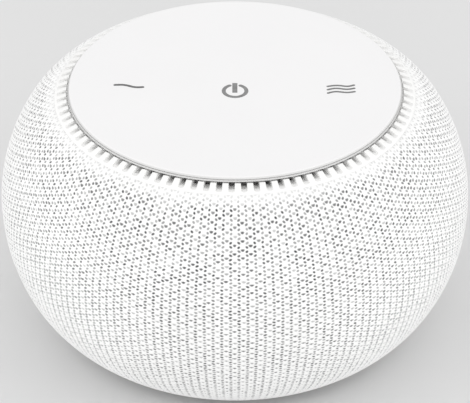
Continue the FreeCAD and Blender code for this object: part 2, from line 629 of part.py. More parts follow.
# ===================================================================== ROTOR
b = body_of("rotor_can")
revolve(b, [(d.shaft_rad, d.can_roof), (d.can_in, d.can_roof), (d.can_in, d.can_lo), (d.can_out, d.can_lo),
            (d.can_out, d.can_hi), (d.shaft_rad, d.can_hi)])
b = body_of("rotor_magnet")
tube(b, d.mag_in, d.can_in, d.can_lo + 0.6, d.can_roof - 1.6)
b = body_of("fan_shaft")
revolve(b, [(0, d.shaft_lo), (d.shaft_rad, d.shaft_lo), (d.shaft_rad, d.clip_lo), (d.groove_rad, d.clip_lo),
            (d.groove_rad, d.clip_hi), (d.shaft_rad, d.clip_hi), (d.shaft_rad, d.shaft_hi), (0, d.shaft_hi)])
b = body_of("shaft_clip")
tube(b, d.groove_rad, d.clip_rad, d.clip_lo, d.clip_hi)
sk = new_sketch(b, "XY_Plane", lift=30.0)
rect(sk, 0, -0.7, 5.0, 0.7)
pocket(b, sk, 15.0)
b = body_of("impeller")
revolve(b, [(d.shaft_rad, d.can_hi), (d.imp_rad, d.can_hi), (d.imp_rad, d.imp_plate), (d.hub_rad, d.imp_plate),
            (d.hub_rad, d.hub_hi), (d.shaft_rad, d.hub_hi)])
tube(b, d.ring_in, d.imp_rad, d.blade_hi, d.ring_hi)
# swept-back blades, set into the plate below and the ring above
sk = new_sketch(b, "XY_Plane", lift=d.imp_plate - 0.6)
bi, bo, t = d.blade_in, d.imp_rad - 0.6, d.blade_t
loop(sk, [(bi, 0), (bo * cosd(-20), bo * sind(-20)), (bo * cosd(-18), bo * sind(-18)), (bi, t)])
f = pad(b, sk, d.blade_hi - d.imp_plate + 1.2)
pattern(b, [f], 18)

# ============================================================== TURNING SHELL
# --- vent ring: 90 radial slots, open through beside the top, with a floor that rises to the outer edge
b = body_of("vent_ring")
n_r, n_z = cosd(d.up_two_deg), sind(d.up_two_deg)
revolve(b, [(d.vr_in, d.vr_lo), (52.2, d.vr_lo), (d.vr_out, d.vr_edge, d.vr_arc, 1),
            (d.vr_step, d.vr_crest), (d.vr_step, d.vr_flat), (d.vr_in, d.vr_flat)])
sk = new_sketch(b, "XZ_Plane")
loop(sk, [(45.0, 74.0), (d.floor_in, 74.0), (d.floor_in, d.floor_lo), (d.floor_mid, d.floor_rise),
          (d.cut_out, d.cut_edge), (d.cut_out, 82.0), (45.0, 82.0)])
pk = pocket(b, sk, d.rib_cut * 2, both=True)
pattern(b, [pk], 90)
turn(b, 0.95)

# --- upper and lower halves of the moulded shell, joined at the widest level
b = body_of("upper_shell")
o1, o2 = upper(d.up_one_deg, d.up_two_deg, d.cloth)
i1, i2 = upper(d.up_one_deg, 57.0, d.shell_in)
revolve(b, [(d.eq_rad - d.shell_in, d.eq_lev), (d.eq_rad - d.cloth, d.eq_lev, d.up_one - d.cloth, 1),
            (o1[0], o1[1], d.up_two - d.cloth, 1), (o2[0], o2[1]),
            (52.3, d.vr_lo), (d.top_fl_in, d.vr_lo), (d.top_fl_in, d.top_fl_lo), (i2[0], d.top_fl_lo),
            (i2[0], i2[1], d.up_two - d.shell_in, -1), (i1[0], i1[1], d.up_one - d.shell_in, -1)])
sk = new_sketch(b, "XY_Plane", lift=d.eq_lev)
circle(sk, d.join_at, 0, d.join_rad)
f = pad(b, sk, d.join_hi - d.eq_lev)
sk = new_sketch(b, "XY_Plane", lift=30.0)
circle(sk, d.join_at, 0, d.scr_rad)
g = pocket(b, sk, 30.0 - 11.5, back=True)
pattern(b, [f, g], 6)
sk = new_sketch(b, "YZ_Plane", turn=0)
rect(sk, -d.shell_slot, d.su_lo, d.shell_slot, d.su_hi)
pk = pocket(b, sk, 90.0)
pattern(b, [pk], 36)
turn(b, 15)

b = body_of("lower_shell")
o1, o2 = lower(d.lo_one_deg, d.lo_two_deg, d.cloth)
i1, i2 = lower(d.lo_one_deg, 52.0, d.shell_in)
revolve(b, [(d.eq_rad - d.cloth, d.eq_lev), (d.eq_rad - d.shell_in, d.eq_lev, d.lo_one - d.shell_in, -1),
            (i1[0], i1[1], d.lo_two - d.shell_in, -1), (i2[0], i2[1]), (i2[0], d.bot_fl_hi),
            (d.bot_fl_in, d.bot_fl_hi), (d.bot_fl_in, o2[1]), (o2[0], o2[1], d.lo_two - d.cloth, 1),
            (o1[0], o1[1], d.lo_one - d.cloth, 1)])
sk = new_sketch(b, "XY_Plane", lift=d.join_lo)
circle(sk, d.join_at, 0, d.join_rad)
f = pad(b, sk, d.eq_lev - d.join_lo)
sk = new_sketch(b, "XY_Plane", lift=50.0)
circle(sk, d.join_at, 0, d.scr_rad)
g = pocket(b, sk, 16.0)
pattern(b, [f, g], 6)
sk = new_sketch(b, "XY_Plane", lift=d.shut_floor)
loop(sk, [(d.lug_at, -2.0), (64.8, -2.0), (64.8, 2.0), (d.lug_at, 2.0)])
f = pad(b, sk, d.lug_hi - d.shut_floor)
sk = new_sketch(b, "XY_Plane", lift=d.shut_floor)
circle(sk, d.lug_at, 0, d.lug_rad)
g = pad(b, sk, d.lug_hi - d.shut_floor)
sk = new_sketch(b, "XY_Plane", lift=15.0)
circle(sk, d.lug_at, 0, 1.1)
h = pocket(b, sk, 27.0 - 15.0, back=True)
pattern(b, [f, g, h], 6)
sk = new_sketch(b, "YZ_Plane")
rect(sk, -d.shell_slot, d.ss_lo, d.shell_slot, d.ss_hi)
pk = pocket(b, sk, 90.0)
pattern(b, [pk], 36)
turn(b, 15)

screws("shell_screws", d.join_at, 6, 15, d.scr_rad, 2.1, d.join_lo - 1.8, d.join_lo, 48.0)

# --- fabric cover: woven skin over both halves
b = body_of("fabric_cover")
o1, o2 = upper(d.up_one_deg, d.up_two_deg, 0.0)
i1, i2 = upper(d.up_one_deg, d.up_two_deg, d.cloth)
lo1, lo2 = lower(d.lo_one_deg, d.lo_two_deg, 0.0)
li1, li2 = lower(d.lo_one_deg, d.lo_two_deg, d.cloth)
revolve(b, [(lo2[0], lo2[1], d.lo_two, 1), (lo1[0], lo1[1], d.lo_one, 1), (d.eq_rad, d.eq_lev, d.up_one, 1),
            (o1[0], o1[1], d.up_two, 1), (o2[0], o2[1]), (i2[0], i2[1], d.up_two - d.cloth, -1),
            (i1[0], i1[1], d.up_one - d.cloth, -1), (d.eq_rad - d.cloth, d.eq_lev, d.lo_one - d.cloth, -1),
            (li1[0], li1[1], d.lo_two - d.cloth, -1), (li2[0], li2[1])])

# --- hem ring: traps the fabric's lower edge under the shell
b = body_of("hem_ring")
li1, li2 = lower(d.lo_one_deg, d.lo_two_deg, d.cloth)
tube(b, d.hem_in, d.hem_out, d.hem_lo, li2[1])

# --- shutter: windowed sleeve on a floor that is screwed to the lower shell
b = body_of("shutter_sleeve")
revolve(b, [(d.shut_in, d.shut_lo), (d.shut_rim, d.shut_lo), (d.shut_rim, d.shut_floor), (d.shut_out, d.shut_floor),
            (d.shut_out, d.shut_hi), (d.shut_in, d.shut_hi)])
sk = new_sketch(b, "YZ_Plane")
rect(sk, d.win_a, d.win_lo, d.win_b, d.win_hi)
rect(sk, -d.win_b, d.win_lo, -d.win_a, d.win_hi)
pk = pocket(b, sk, 60.0)
pattern(b, [pk], 6)
sk = new_sketch(b, "XY_Plane", lift=30.0)
for k in range(6):
    circle(sk, d.lug_at * cosd(15 + 60 * k), d.lug_at * sind(15 + 60 * k), 1.1)
pocket(b, sk, 15.0)
# arc slot that the stop pin runs in: pin at one end when open, at the other when shut
sk = new_sketch(b, "XY_Plane", lift=30.0)
w, R = d.arc_half, d.stop_at
span = 30.0
a0, a1 = -90.0 - span - 0.0, -90.0
ri, ro = R - w, R + w
loop(sk, [(ri * cosd(a0), ri * sind(a0), w, 1), (ro * cosd(a0), ro * sind(a0), ro, 1),
          (0, -ro, w, 1), (0, -ri, ri, -1)])
pocket(b, sk, 15.0)
screws("shutter_screws", d.lug_at, 6, 15, 1.1, 2.0, d.shut_lo - 1.2, d.shut_lo, 26.6)

# ------------------------------------------------------------- checks and files
doc.recompute()
bad = []
for obj in doc.Objects:
    if "Invalid" in obj.State or "Error" in obj.State:
        bad.append(f"{obj.Name} ({obj.Label}): {obj.State}")
os.makedirs("parts", exist_ok=True)
for label, obj in NODES:
    s = obj.Shape
    if s.isNull() or not s.isValid():
        bad.append(f"{label}: shape null or invalid")
        continue
    print(f"{label:18s} solids {len(s.Solids):2d} volume {s.Volume:10.2f} box "
          f"{s.BoundBox.XMin:.2f} {s.BoundBox.YMin:.2f} {s.BoundBox.ZMin:.2f} "
          f"{s.BoundBox.XMax:.2f} {s.BoundBox.YMax:.2f} {s.BoundBox.ZMax:.2f}")
if bad:
    print("\n".join(bad))
    raise SystemExit("the model has failed objects")
if len({label for label, obj in NODES}) != len(NODES):
    raise SystemExit("two nodes share a name")
for label, obj in NODES:
    obj.Shape.exportStep(f"parts/{label}.step")
print(len(NODES), "nodes written")
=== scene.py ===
import json
import math

import bmesh
import bpy
import numpy as np
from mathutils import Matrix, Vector


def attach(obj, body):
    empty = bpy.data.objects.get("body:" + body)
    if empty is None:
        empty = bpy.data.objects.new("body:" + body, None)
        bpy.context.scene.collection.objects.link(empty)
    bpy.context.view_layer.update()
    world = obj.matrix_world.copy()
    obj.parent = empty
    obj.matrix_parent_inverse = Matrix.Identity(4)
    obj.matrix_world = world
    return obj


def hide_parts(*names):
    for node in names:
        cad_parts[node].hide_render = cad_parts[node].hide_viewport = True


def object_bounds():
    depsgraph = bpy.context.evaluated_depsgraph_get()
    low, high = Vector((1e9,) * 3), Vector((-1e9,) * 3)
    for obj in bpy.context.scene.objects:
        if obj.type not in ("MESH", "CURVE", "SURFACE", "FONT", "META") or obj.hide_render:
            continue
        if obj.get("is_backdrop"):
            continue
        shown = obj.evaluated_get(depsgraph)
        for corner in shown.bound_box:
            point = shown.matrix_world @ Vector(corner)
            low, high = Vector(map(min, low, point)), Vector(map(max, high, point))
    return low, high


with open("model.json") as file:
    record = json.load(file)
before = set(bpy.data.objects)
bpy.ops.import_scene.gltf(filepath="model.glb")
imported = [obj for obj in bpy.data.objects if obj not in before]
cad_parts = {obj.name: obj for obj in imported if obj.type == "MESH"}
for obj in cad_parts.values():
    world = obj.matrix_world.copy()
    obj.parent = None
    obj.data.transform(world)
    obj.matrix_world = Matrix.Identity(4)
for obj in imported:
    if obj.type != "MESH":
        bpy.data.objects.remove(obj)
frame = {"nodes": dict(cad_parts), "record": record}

CAD_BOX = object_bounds()
NODES = frame["nodes"]
SCENE = bpy.context.scene
MM = 0.001
SEED = 20117


# ---------------------------------------------------------------- small tools
def mesh_piece(name, verts_mm, faces, smooth=True, sharp_angle=None):
    """A mesh object from points in millimetres and lists of corners."""
    me = bpy.data.meshes.new(name)
    me.from_pydata((np.asarray(verts_mm, float) * MM).tolist(), [], [list(map(int, f)) for f in faces])
    me.validate(verbose=False)
    me.update()
    ob = bpy.data.objects.new(name, me)
    SCENE.collection.objects.link(ob)
    if smooth:
        me.polygons.foreach_set("use_smooth", [True] * len(me.polygons))
        if sharp_angle is not None:
            me.set_sharp_from_angle(angle=math.radians(sharp_angle))
    return ob


def lathe(name, profile, segments, sharp_angle=35.0):
    """A closed turned piece. The profile starts and ends on the axis, or closes on itself."""
    pts, rings, verts, faces = list(profile), [], [], []
    for r, z in pts:
        if r < 1e-6:
            rings.append([len(verts)])
            verts.append((0.0, 0.0, z))
        else:
            rings.append(list(range(len(verts), len(verts) + segments)))
            for k in range(segments):
                a = 2 * math.pi * k / segments
                verts.append((r * math.cos(a), r * math.sin(a), z))
    pairs = list(zip(rings[:-1], rings[1:]))
    if len(rings[0]) > 1:
        pairs.append((rings[-1], rings[0]))
    for a, b in pairs:
        for k in range(segments):
            n = (k + 1) % segments
            if len(a) == 1 and len(b) == 1:
                continue
            if len(a) == 1:
                faces.append((a[0], b[k], b[n]))
            elif len(b) == 1:
                faces.append((a[k], b[0], a[n]))
            else:
                faces.append((a[k], b[k], b[n], a[n]))
    return mesh_piece(name, verts, faces, True, sharp_angle)


def arc(cx, cy, r, a0, a1, n):
    """Points on an arc, angles in degrees, both ends included."""
    return [(cx + r * math.cos(math.radians(a0 + (a1 - a0) * k / n)),
             cy + r * math.sin(math.radians(a0 + (a1 - a0) * k / n))) for k in range(n + 1)]


class Tree:
    """Builds a node material with short calls. A socket is named by the node output that feeds it."""

    def __init__(self, name):
        self.mat = bpy.data.materials.new(name)
        self.mat.use_nodes = True
        self.t = self.mat.node_tree
        self.t.nodes.clear()
        self.out = self.t.nodes.new("ShaderNodeOutputMaterial")
        self.bsdf = self.t.nodes.new("ShaderNodeBsdfPrincipled")
        self.link(self.bsdf.outputs["BSDF"], self.out.inputs["Surface"])

    def link(self, a, b):
        self.t.links.new(a, b)

    def put(self, value, socket):
        if isinstance(value, bpy.types.NodeSocket):
            self.link(value, socket)
        elif value is not None:
            if hasattr(socket.default_value, "__len__") and not hasattr(value, "__len__"):
                value = [value] * len(socket.default_value)
            elif hasattr(socket.default_value, "__len__") and len(socket.default_value) == 4 and len(value) == 3:
                value = list(value) + [1.0]
            socket.default_value = value

    def math(self, op, a, b=None, c=None, clamp=False):
        n = self.t.nodes.new("ShaderNodeMath")
        n.operation = op
        n.use_clamp = clamp
        for i, v in enumerate((a, b, c)):
            if v is not None:
                self.put(v, n.inputs[i])
        return n.outputs[0]

    def add(self, a, b): return self.math("ADD", a, b)
    def sub(self, a, b): return self.math("SUBTRACT", a, b)
    def mul(self, a, b): return self.math("MULTIPLY", a, b)

    def xyz(self, x, y, z=0.0):
        n = self.t.nodes.new("ShaderNodeCombineXYZ")
        for i, v in enumerate((x, y, z)):
            self.put(v, n.inputs[i])
        return n.outputs[0]

    def parts(self, vector):
        n = self.t.nodes.new("ShaderNodeSeparateXYZ")
        self.link(vector, n.inputs[0])
        return n.outputs[0], n.outputs[1], n.outputs[2]

    def step(self, value, a, b, lo=0.0, hi=1.0):
        """Smooth change from lo, where value is a, to hi, where value is b."""
        n = self.t.nodes.new("ShaderNodeMapRange")
        n.interpolation_type = "SMOOTHSTEP"
        n.clamp = True
        for i, v in enumerate((value, a, b, lo, hi)):
            self.put(v, n.inputs[i])
        return n.outputs[0]

    def scale(self, value, a, b, lo, hi):
        n = self.t.nodes.new("ShaderNodeMapRange")
        for i, v in enumerate((value, a, b, lo, hi)):
            self.put(v, n.inputs[i])
        return n.outputs[0]

    def noise(self, vector, scale, detail=2.0, rough=0.5, distortion=0.0):
        n = self.t.nodes.new("ShaderNodeTexNoise")
        self.link(vector, n.inputs["Vector"])
        n.inputs["Scale"].default_value = scale
        n.inputs["Detail"].default_value = detail
        n.inputs["Roughness"].default_value = rough
        n.inputs["Distortion"].default_value = distortion
        return n.outputs[0]

    def cells(self, vector, scale, feature="F1"):
        n = self.t.nodes.new("ShaderNodeTexVoronoi")
        n.feature = feature
        self.link(vector, n.inputs["Vector"])
        n.inputs["Scale"].default_value = scale
        return n.outputs["Distance"]

    def random(self, vector):
        n = self.t.nodes.new("ShaderNodeTexWhiteNoise")
        n.noise_dimensions = "3D"
        self.link(vector, n.inputs["Vector"])
        s = self.t.nodes.new("ShaderNodeSeparateColor")
        self.link(n.outputs["Color"], s.inputs[0])
        return n.outputs["Value"], s.outputs[0], s.outputs[1], s.outputs[2]

    def mix(self, fac, a, b):
        n = self.t.nodes.new("ShaderNodeMix")
        n.data_type = "RGBA"
        self.put(fac, n.inputs[0])
        self.put(a, n.inputs[6])
        self.put(b, n.inputs[7])
        return n.outputs[2]

    def place(self, scale=1.0):
        """The object's own coordinates, in metres. Every object sits at the origin."""
        n = self.t.nodes.new("ShaderNodeTexCoord")
        if scale == 1.0:
            return n.outputs["Object"]
        m = self.t.nodes.new("ShaderNodeMapping")
        self.link(n.outputs["Object"], m.inputs[0])
        m.inputs["Scale"].default_value = (scale,) * 3 if not hasattr(scale, "__len__") else scale
        return m.outputs[0]

    def bump(self, height, strength, distance, normal=None):
        n = self.t.nodes.new("ShaderNodeBump")
        n.inputs["Strength"].default_value = strength
        n.inputs["Distance"].default_value = distance
        self.link(height, n.inputs["Height"])
        if normal is not None:
            self.link(normal, n.inputs["Normal"])
        return n.outputs[0]

    def set(self, **sockets):
        for name, value in sockets.items():
            self.put(value, self.bsdf.inputs[name.replace("_", " ")])
        return self.mat


# ------------------------------------------------------------------ materials
def moulded(name, colour, rough=0.45, grain=1800.0, depth=0.00002, strength=0.25, drift=0.02, specular=0.45, coat=0.0):
    """Moulded plastic: fine spark grain, slow drift of tone and of gloss."""
    t = Tree(name)
    at = t.place()
    slow = t.noise(at, 35.0, 3.0, 0.55)
    fine = t.noise(at, grain, 3.0, 0.6)
    speck = t.cells(at, grain * 0.7)
    dark = [c * (1.0 - drift * 1.6) for c in colour]
    light = [min(1.0, c * (1.0 + drift)) for c in colour]
    tone = t.mix(t.scale(slow, 0.3, 0.7, 0.0, 1.0), dark, light)
    tone = t.mix(t.scale(fine, 0.35, 0.75, 0.0, 0.10), tone, [c * 0.92 for c in colour])
    gloss = t.add(t.scale(slow, 0.3, 0.7, rough - 0.04, rough + 0.05), t.scale(fine, 0.3, 0.7, -0.03, 0.03))
    height = t.add(fine, t.mul(speck, 0.5))
    return t.set(Base_Color=tone, Roughness=gloss, Specular_IOR_Level=specular, Coat_Weight=coat,
                 Normal=t.bump(height, strength, depth))


def metal(name, colour, rough=0.32, brushed=(1.0, 1.0, 14.0)):
    """Plain metal: drawn or rolled lines, a little tarnish."""
    t = Tree(name)
    lines = t.noise(t.place(brushed), 900.0, 3.0, 0.6)
    slow = t.noise(t.place(), 60.0, 3.0, 0.5)
    tone = t.mix(t.scale(slow, 0.3, 0.7, 0.0, 1.0), [c * 0.86 for c in colour], colour)
    tone = t.mix(t.scale(lines, 0.35, 0.7, 0.0, 0.25), tone, [c * 0.7 for c in colour])
    gloss = t.add(t.scale(lines, 0.3, 0.7, rough - 0.08, rough + 0.08), t.scale(slow, 0.3, 0.7, -0.03, 0.05))
    return t.set(Base_Color=tone, Roughness=gloss, Metallic=1.0, Normal=t.bump(lines, 0.15, 0.00003))


def top_plastic(name, colour, rim_shade, rough=0.36):
    """The top's plastic. Its rounded rim is a little duller than the flat face, and its colour there is painted greyer
    as shade.
    """
    t = Tree(name)
    at = t.place()
    x, y, z = t.parts(at)
    slow = t.noise(at, 35.0, 3.0, 0.55)
    fine = t.noise(at, 2600.0, 3.0, 0.6)
    # painted shade: low marks the rounded rim below the flat face, where the colour is painted grey as shade and the
    # plastic is a little rougher
    low = t.step(z, 0.08130, 0.08098, 0.0, 1.0)
    tone = t.mix(t.scale(slow, 0.3, 0.7, 0.0, 1.0), [c * 0.992 for c in colour], [min(1.0, c * 1.006) for c in colour])
    tone = t.mix(low, tone, rim_shade)
    gloss = t.add(t.scale(slow, 0.3, 0.7, rough - 0.04, rough + 0.05), t.scale(fine, 0.3, 0.7, -0.03, 0.03))
    gloss = t.add(gloss, t.mul(low, 0.08))
    return t.set(Base_Color=tone, Roughness=gloss, Specular_IOR_Level=0.5, Normal=t.bump(fine, 0.12, 0.000008))


def rubber(name, colour, rough=0.75):
    t = Tree(name)
    at = t.place()
    slow = t.noise(at, 50.0, 4.0, 0.6)
    fine = t.noise(at, 2600.0, 2.0, 0.6)
    tone = t.mix(t.scale(slow, 0.3, 0.7, 0.0, 1.0), [c * 0.88 for c in colour], [min(1.0, c * 1.12) for c in colour])
    gloss = t.scale(fine, 0.3, 0.7, rough - 0.06, rough + 0.08)
    return t.set(Base_Color=tone, Roughness=gloss, Specular_IOR_Level=0.35,
                 Normal=t.bump(t.add(fine, t.mul(slow, 0.6)), 0.35, 0.00004))


def board(name):
    """Glass-fibre board under green lacquer, with faint tracks."""
    t = Tree(name)
    at = t.place()
    cells = t.cells(t.place((1.0, 1.0, 0.0)), 220.0, "DISTANCE_TO_EDGE")
    track = t.step(cells, 0.05, 0.09, 1.0, 0.0)
    slow = t.noise(at, 300.0, 3.0, 0.6)
    tone = t.mix(t.scale(slow, 0.3, 0.7, 0.0, 1.0), (0.020, 0.130, 0.060), (0.030, 0.180, 0.085))
    tone = t.mix(t.mul(track, 0.6), tone, (0.075, 0.30, 0.14))
    return t.set(Base_Color=tone, Roughness=t.scale(slow, 0.3, 0.7, 0.28, 0.42), Normal=t.bump(track, 0.2, 0.00003))


def layered(name, colour):
    """Stacked sheet steel: fine level lines."""
    t = Tree(name)
    lines = t.noise(t.place((0.02, 0.02, 1.0)), 3500.0, 1.0, 0.5)
    slow = t.noise(t.place(), 120.0, 3.0, 0.6)
    tone = t.mix(t.step(lines, 0.42, 0.58), [c * 0.55 for c in colour], colour)
    return t.set(Base_Color=tone, Roughness=t.scale(slow, 0.3, 0.7, 0.4, 0.6), Metallic=0.8, Normal=t.bump(lines, 0.4, 0.00004))


def wound(name, colour):
    """Enamelled wire laid side by side."""
    t = Tree(name)
    lines = t.noise(t.place((1.0, 1.0, 0.05)), 2600.0, 0.0, 0.5)
    slow = t.noise(t.place(), 160.0, 3.0, 0.6)
    tone = t.mix(t.step(lines, 0.4, 0.6), [c * 0.5 for c in colour], colour)
    return t.set(Base_Color=tone, Roughness=t.scale(slow, 0.3, 0.7, 0.22, 0.36), Metallic=0.85, Normal=t.bump(lines, 0.5, 0.00006))


def foam(name, colour):
    t = Tree(name)
    at = t.place()
    cell = t.cells(at, 2400.0)
    slow = t.noise(at, 200.0, 3.0, 0.6)
    tone = t.mix(t.step(cell, 0.15, 0.55), [c * 0.45 for c in colour], [min(1.0, c * 1.3) for c in colour])
    return t.set(Base_Color=tone, Roughness=t.scale(slow, 0.3, 0.7, 0.85, 0.98), Normal=t.bump(cell, 0.6, 0.00012))


def knit():
    """White knitted cover. The map counts wales along U and courses along V, so the eyelets follow the stitches
    however far the cloth is stretched. The eyelets are painted near black and the dimples round them grey, as painted
    shade.
    """
    t = Tree("knit_white")
    uv = t.t.nodes.new("ShaderNodeUVMap")
    uv.uv_map = "Weave"
    u, v, _ = t.parts(uv.outputs[0])
    floor = lambda x: t.math("FLOOR", x)
    frac = lambda x: t.math("FRACT", x)
    parity = lambda x: t.math("FLOORED_MODULO", x, 2.0)

    # broad eyelets: one at each crossing of a wale with every second course
    i = floor(t.add(u, 0.5))
    vs = t.add(v, t.mul(parity(i), 0.5))
    j = floor(vs)
    value, ra, rb, rc = t.random(t.xyz(t.add(i, 0.25), t.add(j, 0.25), 3.5))
    x = t.add(t.mul(t.sub(u, i), 2.54), t.scale(ra, 0.0, 1.0, -0.13, 0.13))
    y = t.add(t.mul(t.sub(0.5, frac(vs)), 2.12), t.scale(rb, 0.0, 1.0, -0.09, 0.09))
    y = t.sub(y, t.mul(t.mul(x, x), 0.34))
    wide = t.scale(rc, 0.0, 1.0, 0.54, 0.70)
    q = t.math("SQRT", t.add(t.math("POWER", t.math("DIVIDE", x, wide), 2.0), t.math("POWER", t.math("DIVIDE", y, 0.33), 2.0)))
    broad = t.step(q, 1.40, 0.50)
    # painted shade: how dark the shade seen in each broad eyelet is painted, at random from eyelet to eyelet
    broad_dark = t.mul(broad, t.step(value, 0.0, 1.0, 0.40, 0.92))
    broad_dip = t.step(q, 2.0, 0.4)

    # narrow slanted eyelets: midway between wales, in level rows, leaning away from the broad eyelet above them
    iu = floor(u)
    w = t.add(t.mul(v, 2.0), 0.167)
    jw = floor(w)
    value2, sa, sb, sc = t.random(t.xyz(t.add(iu, 0.75), t.add(jw, 0.25), 9.5))
    lean = t.sub(t.mul(parity(t.add(iu, jw)), 2.0), 1.0)
    x2 = t.add(t.mul(t.sub(t.sub(u, iu), 0.5), 2.54), t.scale(sa, 0.0, 1.0, -0.10, 0.10))
    y2 = t.add(t.mul(t.sub(0.5, frac(w)), 1.06), t.scale(sb, 0.0, 1.0, -0.07, 0.07))
    sn = t.mul(lean, 0.36)
    xr = t.add(t.mul(x2, 0.933), t.mul(y2, sn))
    yr = t.sub(t.mul(y2, 0.933), t.mul(x2, sn))
    wide2 = t.scale(sc, 0.0, 1.0, 0.42, 0.56)
    q2 = t.math("SQRT", t.add(t.math("POWER", t.math("DIVIDE", xr, wide2), 2.0), t.math("POWER", t.math("DIVIDE", yr, 0.31), 2.0)))
    narrow = t.step(q2, 1.40, 0.50)
    # painted shade: how dark the shade seen in each narrow eyelet is painted, at random from eyelet to eyelet
    narrow_dark = t.mul(narrow, t.step(value2, 0.0, 1.0, 0.62, 1.0))
    narrow_dip = t.step(q2, 2.0, 0.4)

    # the eyelets' painted shade; the same mask also makes the eyelets a little rougher
    eyelet_shade = t.math("MAXIMUM", broad_dark, narrow_dark)
    dip = t.math("MAXIMUM", broad_dip, narrow_dip)
    # close to the ring the stitches are drawn together and the first courses stay shut
    patch = t.noise(t.xyz(t.mul(u, 0.16), t.mul(v, 0.35), 1.0), 1.0, 2.0, 0.5)
    edge = t.step(t.add(v, t.scale(patch, 0.3, 0.7, -0.25, 0.25)), 0.1, 1.9, 0.25, 1.0)
    hem = t.step(v, 38.4, 37.6, 0.0, 1.0)
    eyelet_shade = t.mul(t.mul(eyelet_shade, edge), hem)
    eyelet_shade = t.mul(eyelet_shade, t.scale(patch, 0.3, 0.7, 0.92, 1.05))

    # the yarn itself: small loops, and a soft nap
    loops = t.math("SINE", t.add(t.mul(v, 8 * math.pi), t.mul(t.math("ABSOLUTE", t.math("SINE", t.mul(u, 4 * math.pi))), 2.4)))
    wale = t.math("COSINE", t.mul(u, 8 * math.pi))
    at = t.place()
    fibre = t.noise(at, 5200.0, 3.0, 0.65)
    cloud = t.noise(at, 55.0, 3.0, 0.5)

    white = t.mix(t.scale(cloud, 0.3, 0.7, 0.0, 1.0), (0.900, 0.900, 0.893), (0.945, 0.945, 0.940))
    white = t.mix(t.scale(fibre, 0.3, 0.75, 0.0, 0.10), white, (0.80, 0.80, 0.80))
    # painted shade: the dimples round the eyelets are painted grey, and the eyelets near black
    shaded = t.mix(t.mul(dip, 0.10), white, (0.60, 0.60, 0.605))
    tone = t.mix(t.math("MINIMUM", eyelet_shade, 1.0), shaded, (0.055, 0.056, 0.060))
    height = t.add(t.mul(dip, -1.0), t.add(t.mul(loops, 0.10), t.add(t.mul(wale, 0.06), t.mul(fibre, 0.12))))
    gloss = t.add(t.scale(fibre, 0.3, 0.7, 0.80, 0.92), t.mul(eyelet_shade, 0.05))
    return t.set(Base_Color=tone, Roughness=gloss, Specular_IOR_Level=0.25, Sheen_Weight=0.55, Sheen_Roughness=0.5,
                 Normal=t.bump(height, 0.25, 0.00016))


def ink(name, grey):
    """Printed grey ink with a slightly uneven edge of tone."""
    t = Tree(name)
    at = t.place()
    slow = t.noise(at, 420.0, 3.0, 0.6)
    fine = t.noise(at, 4200.0, 2.0, 0.6)
    tone = t.mix(t.scale(slow, 0.3, 0.7, 0.0, 1.0), [grey * 0.84] * 3, [min(1.0, grey * 1.16)] * 3)
    return t.set(Base_Color=tone, Roughness=t.scale(fine, 0.3, 0.7, 0.42, 0.56), Normal=t.bump(fine, 0.1, 0.00001))


MATS = {
    "fabric": knit(),
    "vent_white": moulded("vent_white", (0.900, 0.898, 0.890), rough=0.48, grain=1600.0, drift=0.012),
    # top_white: its second colour is painted shade on the top's rounded rim
    "top_white": top_plastic("top_white", (0.866, 0.861, 0.864), (0.65, 0.647, 0.642)),
    "shell_white": moulded("shell_white", (0.88, 0.88, 0.87), rough=0.52, grain=1400.0),
    "base_white": moulded("base_white", (0.86, 0.86, 0.85), rough=0.55, grain=900.0, depth=0.00005, strength=0.35),
    "core_grey": moulded("core_grey", (0.26, 0.27, 0.28), rough=0.55, grain=1200.0),
    "dark_plastic": moulded("dark_plastic", (0.030, 0.030, 0.033), rough=0.45, grain=1500.0, drift=0.08),
    "glide_pom": moulded("glide_pom", (0.88, 0.88, 0.86), rough=0.28, grain=2200.0, strength=0.1),
    "lead_white": moulded("lead_white", (0.78, 0.78, 0.76), rough=0.5, grain=2000.0),
    "foot_rubber": rubber("foot_rubber", (0.115, 0.115, 0.118)),
    "grommet_rubber": rubber("grommet_rubber", (0.022, 0.022, 0.022), 0.68),
    "foam": foam("foam", (0.05, 0.05, 0.052)),
    "steel": metal("steel", (0.62, 0.62, 0.63), 0.34),
    "bronze": metal("bronze", (0.60, 0.40, 0.20), 0.42),
    "nickel": metal("nickel", (0.74, 0.71, 0.66), 0.18),
    "laminations": layered("laminations", (0.34, 0.34, 0.35)),
    "copper": wound("copper", (0.72, 0.30, 0.13)),
    "magnet": moulded("magnet", (0.045, 0.045, 0.048), rough=0.6, grain=900.0, drift=0.1),
    "board_green": board("board_green"),
}
SLOT = {s["node"]: s["material_slot"] for s in frame["record"]["subparts"]}
for node, ob in NODES.items():
    ob.data.materials.clear()
    ob.data.materials.append(MATS[SLOT[node]])


def finish_piece(ob, body, slot, replaced=(), mat=None):
    ob.data.materials.clear()
    ob.data.materials.append(mat or MATS[slot])
    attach(ob, body)
    if replaced:
        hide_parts(*replaced)
    return ob


# -------------------------------------------------------------- knitted cover
# Outer profile from the ring edge down: (centre r, centre z, radius, from angle, to angle)
ARCS = [(42.161, 55.788, 25.3, 61.7, 31.3), (20.8, 42.8, 50.3, 31.3, 0.0),
        (15.6, 42.8, 55.5, 0.0, -24.7), (27.683, 37.242, 42.2, -24.7, -53.0)]
LENGTHS = [math.radians(a - b) * r for _, _, r, a, b in ARCS]
TOTAL = sum(LENGTHS)


